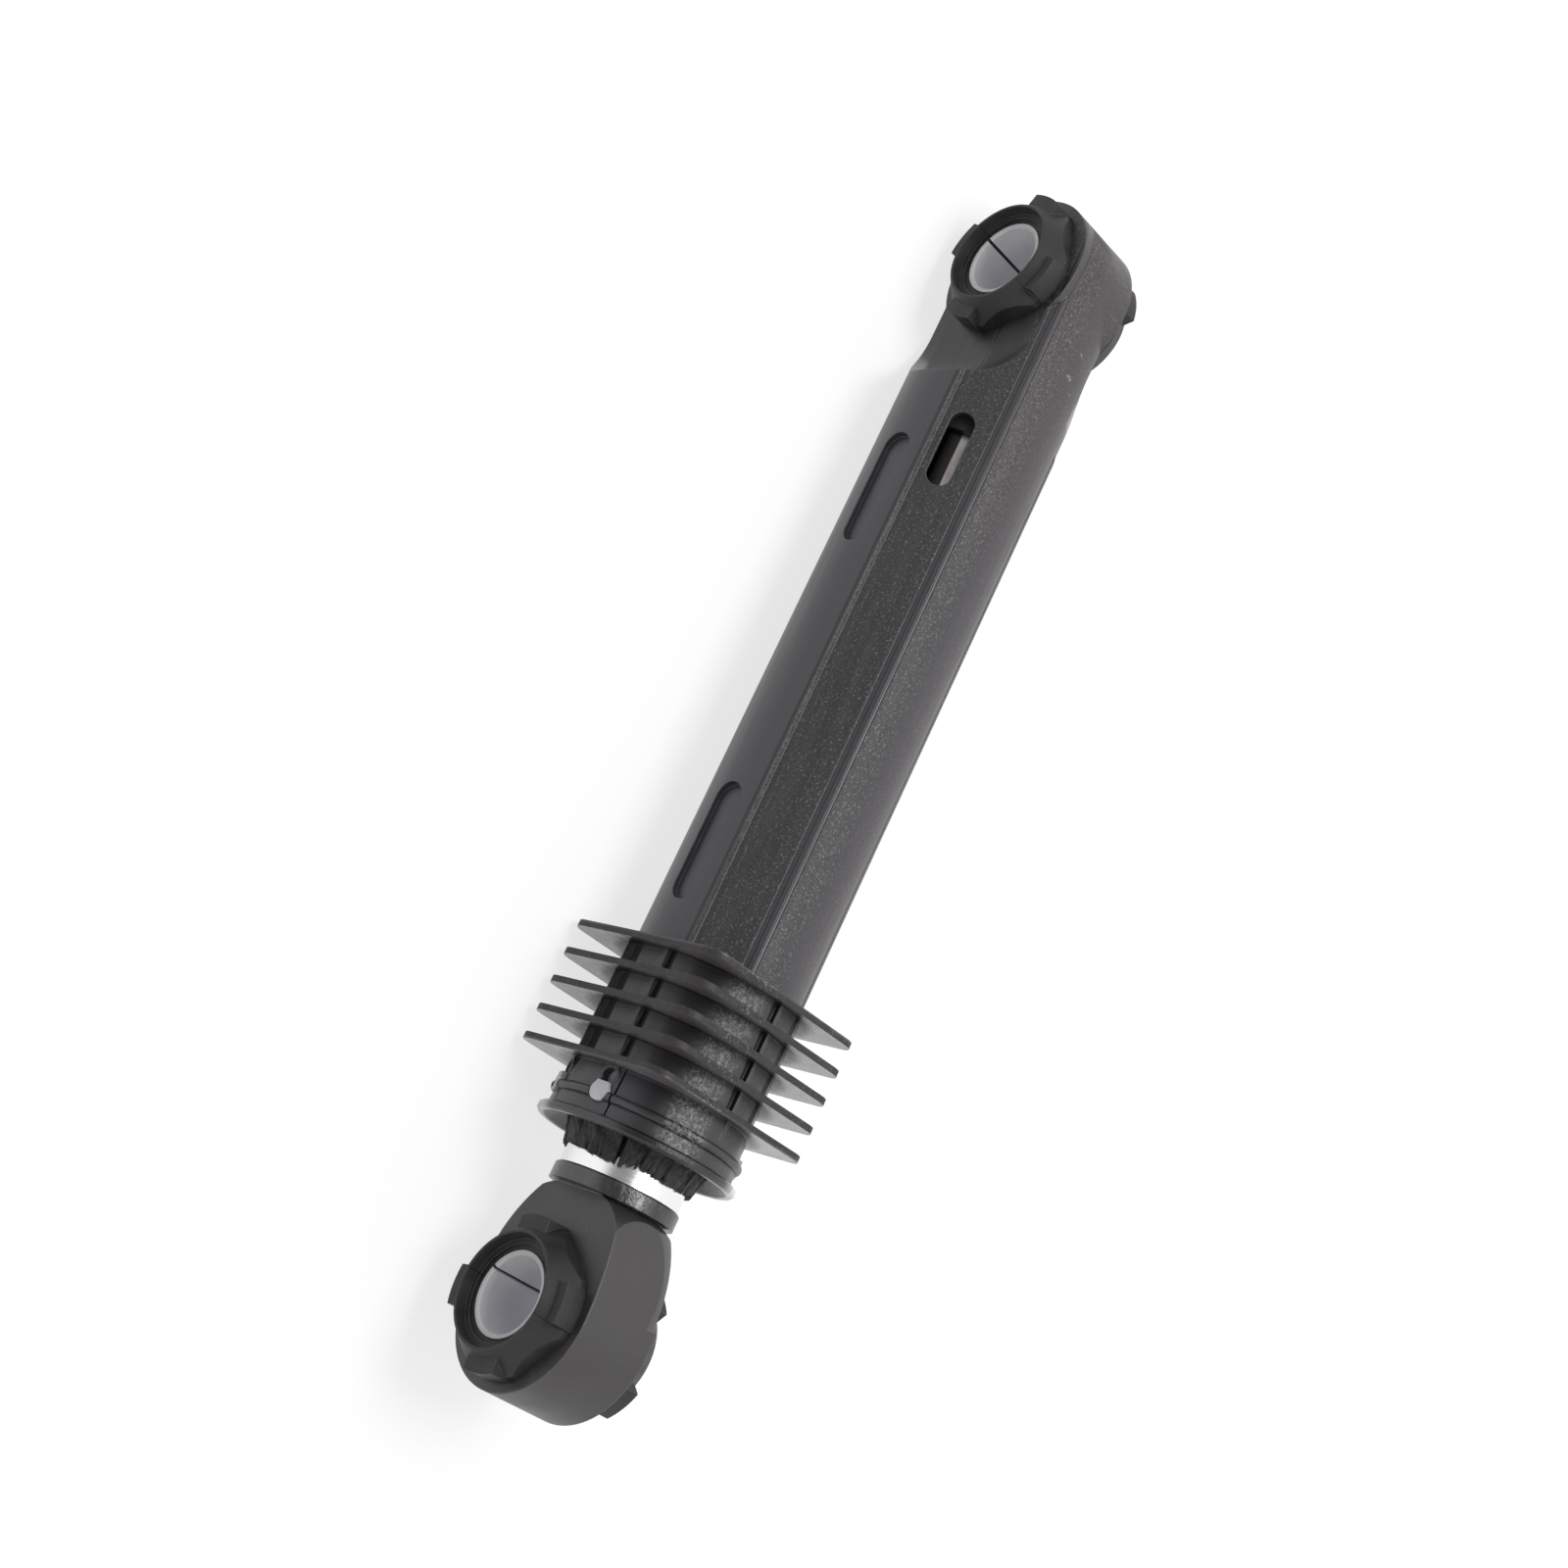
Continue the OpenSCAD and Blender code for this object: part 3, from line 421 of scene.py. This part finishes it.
def rubber_material(name, middle_x, line_angle):
    """Dull black rubber with faint bloom and a fine mould line across both heads."""
    mat, tree, shader, coords = new_material(name)
    pos = coords.outputs["Object"]
    x, y, z = axis_parts(tree, pos)
    bloom = fractal(tree, pos, 260.0, 4.0, 0.6)
    grain = fractal(tree, pos, 2600.0, 3.0, 0.6)
    aside = calc(tree, "ABSOLUTE", add(
        tree, mul(tree, add(tree, x, -middle_x), math.sin(math.radians(line_angle))),
        mul(tree, z, -math.cos(math.radians(line_angle)))))
    line = mul(tree, span(tree, aside, 0.16 * MM, 0.06 * MM),
               span(tree, calc(tree, "ABSOLUTE", y), 8.2 * MM, 8.6 * MM))
    rounded, edges = soft_edges(tree, 0.3 * MM)
    base = paint(
        tree, blend(tree, span(tree, bloom, 0.35, 0.75),
                    (0.0150, 0.0154, 0.0150), (0.0270, 0.0275, 0.0265)),
        (mul(tree, span(tree, grain, 0.60, 0.72), 0.4), (0.0700, 0.0700, 0.0680)),
        # Painted highlight along the edges
        (mul(tree, edges, span(tree, bloom, 0.35, 0.65, 0.2, 0.9)), (0.1100, 0.1100, 0.1070)),
        (mul(tree, line, 0.9), (0.0050, 0.0050, 0.0050)))
    height = add(tree, mul(tree, grain, 0.000014), mul(tree, line, -0.00008))
    connect(tree, shader, base, span(tree, bloom, 0.3, 0.7, 0.48, 0.62),
            relief(tree, height, normal=rounded))
    return mat


def sleeve_material():
    """Off-white plastic sleeve, greyed by painted shade towards the middle of its bore."""
    mat, tree, shader, coords = new_material("sleeve_white")
    pos = coords.outputs["Object"]
    from_middle = calc(tree, "ABSOLUTE", axis_parts(tree, pos)[1])
    normal_y = calc(tree, "ABSOLUTE", axis_parts(tree, coords.outputs["Normal"])[1])
    blotch = fractal(tree, pos, 240.0, 3.0, 0.6, (1.0, 0.2, 1.0))
    near_end = span(tree, add(tree, from_middle, mul(tree, blotch, 1.2 * MM)), 4.5 * MM, 10.5 * MM)
    # Painted shade: grey in the middle of the bore, white towards its ends
    base = paint(
        tree, blend(tree, blotch, (0.7000, 0.6950, 0.7500), (0.8500, 0.8450, 0.8900)),
        (near_end, (0.9600, 0.9600, 0.9700)),
        (span(tree, normal_y, 0.3, 0.6), (0.9700, 0.9700, 0.9750)))
    grain = fractal(tree, pos, 2400.0, 2.0, 0.5)
    connect(tree, shader, base, span(tree, blotch, 0.3, 0.7, 0.30, 0.42),
            relief(tree, grain, 0.00002), 1.46)
    return mat


def cage_material():
    """Milky white plastic of the cage and its hooks."""
    mat, tree, shader, coords = new_material("cage_white")
    cloud = fractal(tree, coords.outputs["Object"], 500.0, 3.0, 0.6)
    base = blend(tree, cloud, (0.7600, 0.7650, 0.8000), (0.9000, 0.9000, 0.9200))
    connect(tree, shader, base, span(tree, cloud, 0.3, 0.7, 0.34, 0.46),
            relief(tree, cloud, 0.00008))
    return mat


def guide_material():
    """Dark, slightly furry plastic of the mouth guide and guide ring."""
    mat, tree, shader, coords = new_material("guide_black")
    pos = coords.outputs["Object"]
    grain = fractal(tree, pos, 1500.0, 4.0, 0.7)
    tuft = fractal(tree, pos, 520.0, 3.0, 0.6, (0.4, 1.0, 1.0))
    tips = span(tree, axis_parts(tree, pos)[0], 181.2 * MM, 183.6 * MM)
    base = paint(
        tree, blend(tree, grain, (0.0060, 0.0060, 0.0060), (0.0180, 0.0176, 0.0172)),
        (mul(tree, span(tree, tuft, 0.56, 0.68), tips, 0.7), (0.0700, 0.0680, 0.0670)))
    connect(tree, shader, base, span(tree, grain, 0.3, 0.7, 0.42, 0.62),
            relief(tree, grain, 0.0001), 1.48)
    return mat


def felt_material():
    """Dense greased felt."""
    mat, tree, shader, coords = new_material("lining_felt")
    pos = coords.outputs["Object"]
    fibre = fractal(tree, pos, 1800.0, 4.0, 0.75, (0.4, 1.0, 1.0))
    cloud = fractal(tree, pos, 220.0, 3.0, 0.6)
    base = paint(
        tree, blend(tree, fibre, (0.1600, 0.1300, 0.1000), (0.3800, 0.3200, 0.2500)),
        (mul(tree, cloud, 0.5), (0.0900, 0.0750, 0.0600)))
    connect(tree, shader, base, span(tree, cloud, 0.3, 0.7, 0.75, 0.9),
            relief(tree, fibre, 0.0003))
    return mat


def steel_material():
    """Bright drawn tube with fine lines round it, brownish painted shade towards its inner end."""
    mat, tree, shader, coords = new_material("tube_steel")
    pos = coords.outputs["Object"]
    x, angle, _ = polar(tree, pos)
    lines = fractal(tree, pos, 9000.0, 2.0, 0.5, (1.0, 0.03, 0.03))
    cloud = fractal(tree, pos, 160.0, 3.0, 0.6)
    tube_blotch = fractal(tree, pos, 420.0, 3.0, 0.6, (0.3, 1.0, 1.0))
    inner_end = span(tree, x, 120.0 * MM, 60.0 * MM)
    # Painted dark reflection beside a bright strip along it
    dark_reflection = mul(tree, inner_end,
                  span(tree, add(tree, angle, mul(tree, tube_blotch, 2.0)), 42.5, 41.0))
    base = paint(
        tree, blend(tree, cloud, (0.8800, 0.8750, 0.8850), (0.9500, 0.9450, 0.9500)),
        # Painted shade, brownish, towards the inner end
        (mul(tree, inner_end, span(tree, tube_blotch, 0.3, 0.7, 0.45, 0.8)),
         (0.3000, 0.2500, 0.2250)),
        (mul(tree, dark_reflection, 0.95), (0.0150, 0.0140, 0.0130)))
    rough = add(tree, span(tree, lines, 0.3, 0.7, 0.16, 0.24), mul(tree, cloud, 0.10),
                mul(tree, inner_end, 0.08))
    connect(tree, shader, base, rough, relief(tree, lines, 0.0000018))
    shader.inputs["Metallic"].default_value = 1.0
    return mat


ROD_EYE_X = sum(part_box("rod_sleeve")[k][0] for k in (0, 1)) / 2

rubber = rubber_material("bush_rubber", 0.0, 51.0)
sleeve = sleeve_material()
satin = satin_material()
guide = guide_material()
felt = felt_material()

looks = {
    "housing": housing_material(), "housing_bush": rubber, "housing_sleeve": sleeve,
    "friction_cage": cage_material(), "inner_lining": felt, "outer_lining": felt,
    "mouth_guide": guide, "bump_stop": rubber, "guide_ring": guide,
    "piston_tube": steel_material(), "piston_plug": satin, "rod_end": satin,
    "rod_bush": rubber_material("rod_bush_rubber", ROD_EYE_X, 81.0), "rod_sleeve": sleeve,
}
for name, material in looks.items():
    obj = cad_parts[name]
    if not obj.material_slots:
        obj.data.materials.append(material)
    for slot in obj.material_slots:
        slot.material = material


# ---------------------------------------------------------------- mouth guide

def curve_through(points, angle):
    """Value at an angle, read smoothly from (angle, value) pairs round the circle."""
    for k, (a0, v0) in enumerate(points):
        a1, v1 = points[(k + 1) % len(points)]
        width = (a1 - a0) % 360.0
        along = (angle - a0) % 360.0
        if along < width:
            t = along / width
            t = t * t * (3.0 - 2.0 * t)
            return v0 + (v1 - v0) * t
    return points[0][1]


def apart(deg, place):
    """Degrees between two angles."""
    return abs((deg - place + 180.0) % 360.0 - 180.0)


def make_guide():
    """Ragged ring of the mouth guide: worn fingers with torn tips round the tube."""
    low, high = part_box("mouth_guide")
    bore, cage_r, seat_r, root_r = 11.35 * MM, 15.15 * MM, 13.9 * MM, 13.5 * MM
    spigot_bore, tip_r, longest = 12.62 * MM, 12.15 * MM, 6.75
    flange_x, flange_end = high.x - 7.8 * MM, high.x - 6.6 * MM
    # Reach of the tips from the flange's end, in mm, at angles round the tube
    reach = [(-40, 5.0), (-24, 5.4), (0, 5.9), (16, 6.4), (25, 6.55), (41, 6.6), (52, 5.9),
             (62, 5.5), (84, 5.8), (105, 5.6), (128, 5.0), (160, 5.3), (205, 6.1), (250, 5.4),
             (295, 5.6)]
    # Cuts between the fingers: angle and how far each is open
    slits = [(-27, 0.35), (-3, 0.2), (16, 0.25), (38.5, 1.0), (57, 0.25), (79, 0.2), (103, 0.3),
             (128, 0.5), (153, 0.5), (181, 0.8), (207, 0.5), (232, 0.7), (258, 0.5), (284, 0.6)]
    steps, rings = 900, 16
    rng = random.Random(41)
    # Nicks in the tips: angle, half width in degrees and depth in mm
    nicks = [(rng.uniform(0, 360), rng.uniform(0.5, 1.6), rng.uniform(0.25, 1.0))
             for _ in range(70)]
    bm = bmesh.new()
    loops = []
    for i in range(steps):
        deg = 360.0 * i / steps
        around = Vector((0.0, -math.cos(math.radians(deg)), math.sin(math.radians(deg))))
        rough = noise.noise(around * 14.0) * 0.35 + noise.noise(around * 47.0) * 0.22
        length = curve_through(reach, deg) + rough
        for place, half, depth in nicks:
            off = apart(deg, place)
            if off < half:
                length -= depth * (1.0 - off / half)
        slit = 0.0
        for place, opened in slits:
            slit = max(slit, opened * (1.0 - max(0.0, apart(deg, place) - 0.9) / 1.1))
        slit = min(1.0, slit)
        length = min(length, longest) - 1.5 * slit
        profile = [(low.x, spigot_bore), (low.x, seat_r), (flange_x, seat_r), (flange_x, cage_r),
                   (flange_end, cage_r), (flange_end, root_r)]
        for k in range(1, rings + 1):
            t = k / rings
            x = flange_end + length * MM * t
            bumpy = noise.noise(Vector((t * 3.0, around.y * 9.0, around.z * 9.0 + 7.0)))
            hairy = noise.noise(Vector((t * 11.0, around.y * 24.0, around.z * 24.0 + 3.0)))
            outer = root_r + (tip_r - root_r) * t ** 1.15
            outer += (bumpy * 0.28 + hairy * 0.16) * MM * min(1.0, 4.0 * t)
            outer -= slit * (outer - bore - 0.12 * MM) * min(1.0, 3.5 * t) * 0.92
            profile.append((x, max(outer, bore + 0.10 * MM)))
        profile.append((profile[-1][0] - 0.02 * MM, bore + 0.02 * MM))
        profile += [(flange_end + 0.4 * MM, bore), (flange_x, bore), (flange_x, spigot_bore)]
        loops.append([bm.verts.new((x, around.y * r, around.z * r)) for x, r in profile])
    for i, loop in enumerate(loops):
        after = loops[(i + 1) % steps]
        for k in range(len(loop)):
            m = (k + 1) % len(loop)
            bm.faces.new((loop[k], loop[m], after[m], after[k]))
    bmesh.ops.recalc_face_normals(bm, faces=bm.faces)
    for face in bm.faces:
        face.smooth = True
    mesh = bpy.data.meshes.new("ragged_guide")
    bm.to_mesh(mesh)
    bm.free()
    mesh.materials.append(guide)
    piece = bpy.data.objects.new("ragged_guide", mesh)
    scene.collection.objects.link(piece)
    split = piece.modifiers.new("edges", "EDGE_SPLIT")
    split.split_angle = math.radians(50)
    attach(piece, "housing")
    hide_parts("mouth_guide")


make_guide()


# ---------------------------------------------------------------- stage and light

def floor_material():
    """Pale floor: white to the camera and in reflections, keeps the shadow."""
    mat, tree, shader, coords = new_material("floor_pale")
    tree.nodes.remove(shader)
    out = tree.nodes["Material Output"]
    path = put(tree, "ShaderNodeLightPath")
    seen = calc(tree, "MAXIMUM", path.outputs["Is Camera Ray"], path.outputs["Is Glossy Ray"])
    tint = blend(tree, fractal(tree, coords.outputs["Object"], 3.0),
                 (0.32, 0.32, 0.32), (0.34, 0.34, 0.34))
    diffuse = put(tree, "ShaderNodeBsdfDiffuse", {"Color": tint})
    glow = put(tree, "ShaderNodeEmission",
               {"Color": (1, 1, 1, 1), "Strength": mul(tree, seen, 0.74)})
    both = put(tree, "ShaderNodeAddShader", {0: diffuse.outputs[0], 1: glow.outputs[0]})
    tree.links.new(both.outputs[0], out.inputs["Surface"])
    return mat


def make_floor():
    """Plane that the housing eye and the first fin rest on."""
    eye_low, fin_low, gap, half = -16.0 * MM, -19.8 * MM, 0.1 * MM, 4.0
    slope = (fin_low - eye_low) / DRUM_X
    mesh = bpy.data.meshes.new("floor")
    corners = [(sx * half, sy * half, eye_low + slope * sx * half - gap)
               for sx, sy in ((-1, -1), (1, -1), (1, 1), (-1, 1))]
    mesh.from_pydata(corners, [], [(0, 1, 2, 3)])
    floor = bpy.data.objects.new("floor", mesh)
    mesh.materials.append(floor_material())
    scene.collection.objects.link(floor)


make_floor()


def make_world():
    """White surroundings, dimmer on the side that the camera and its stand take up."""
    world = bpy.data.worlds.new("studio")
    scene.world = world
    world.use_nodes = True
    tree = world.node_tree
    tree.nodes.clear()
    path = put(tree, "ShaderNodeLightPath")
    way = put(tree, "ShaderNodeTexCoord").outputs["Generated"]
    toward = put(tree, "ShaderNodeVectorMath", {0: way, 1: (-0.05, -0.66, 0.75)},
                 operation="DOT_PRODUCT").outputs["Value"]
    dim = span(tree, toward, 0.76, 0.96, 1.0, 0.22)
    gloss = mul(tree, path.outputs["Is Glossy Ray"], 0.48)
    level = mul(tree, add(tree, 0.55, gloss), dim)
    soft = put(tree, "ShaderNodeBackground", {"Color": (1.0, 0.985, 1.0, 1.0), "Strength": level})
    white = put(tree, "ShaderNodeBackground", {"Color": (1, 1, 1, 1), "Strength": 1.0})
    mix = put(tree, "ShaderNodeMixShader",
              {0: path.outputs["Is Camera Ray"], 1: soft.outputs[0], 2: white.outputs[0]})
    out = put(tree, "ShaderNodeOutputWorld")
    tree.links.new(mix.outputs[0], out.inputs["Surface"])


make_world()


def make_light():
    """Soft square lamp above the housing eye."""
    data = bpy.data.lights.new("top_box", "AREA")
    data.shape = "SQUARE"
    data.size = 0.46
    data.energy = 4.8
    light = bpy.data.objects.new("top_box", data)
    place, aim = Vector((-0.13, -0.04, 0.95)), Vector((0.13, 0.0, 0.0))
    light.location = place
    light.rotation_euler = (aim - place).to_track_quat("-Z", "Y").to_euler()
    scene.collection.objects.link(light)


make_light()
